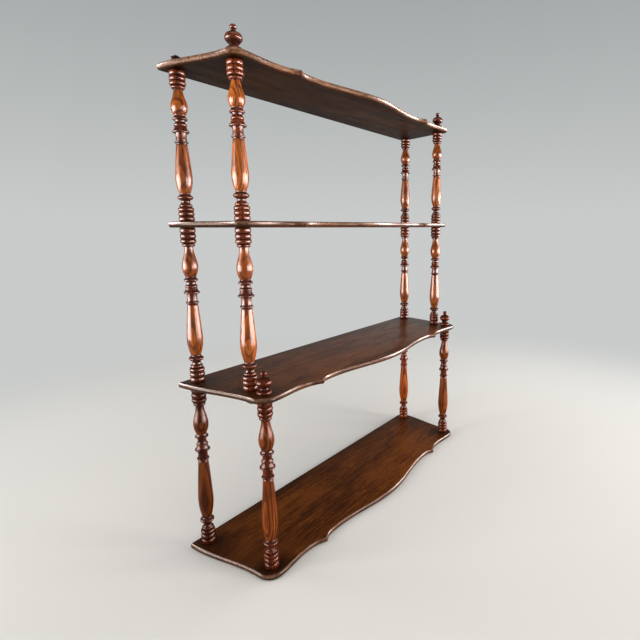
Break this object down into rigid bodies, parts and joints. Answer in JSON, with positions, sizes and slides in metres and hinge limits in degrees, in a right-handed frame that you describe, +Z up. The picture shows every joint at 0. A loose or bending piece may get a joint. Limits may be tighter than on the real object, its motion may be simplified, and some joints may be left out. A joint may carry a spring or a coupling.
{
  "type": "wall shelf",
  "caption": "Open wall shelf with serpentine-fronted wooden boards held apart by turned spindles, deeper below than above, with turned finials and buttons.",
  "frame": {"origin": "middle of the width and depth, on the underside of the bottom board", "axes": "+X to the right seen from the front, +Y to the back, where the wall is, +Z up"},
  "size_m": [0.599, 0.1674, 0.7076],
  "materials": {
    "board_wood": "dark brown French-polished board with fine grain along its length",
    "spindle_wood": "red-brown French-polished turned wood"
  },
  "bodies": {
    "root": {"bottom_board": "board_wood", "lower_middle_board": "board_wood", "upper_middle_board": "board_wood", "top_board": "board_wood", "lower_spindle_back_left": "spindle_wood", "lower_spindle_back_right": "spindle_wood", "lower_spindle_front_left": "spindle_wood", "lower_spindle_front_right": "spindle_wood", "middle_spindle_back_left": "spindle_wood", "middle_spindle_back_right": "spindle_wood", "middle_spindle_front_left": "spindle_wood", "middle_spindle_front_right": "spindle_wood", "upper_spindle_back_left": "spindle_wood", "upper_spindle_back_right": "spindle_wood", "upper_spindle_front_left": "spindle_wood", "upper_spindle_front_right": "spindle_wood", "lower_finial_left": "spindle_wood", "lower_finial_right": "spindle_wood", "upper_finial_left": "spindle_wood", "upper_finial_right": "spindle_wood", "top_button_left": "spindle_wood", "top_button_right": "spindle_wood", "under_button_left": "spindle_wood", "under_button_right": "spindle_wood"}
  },
  "joints": []
}
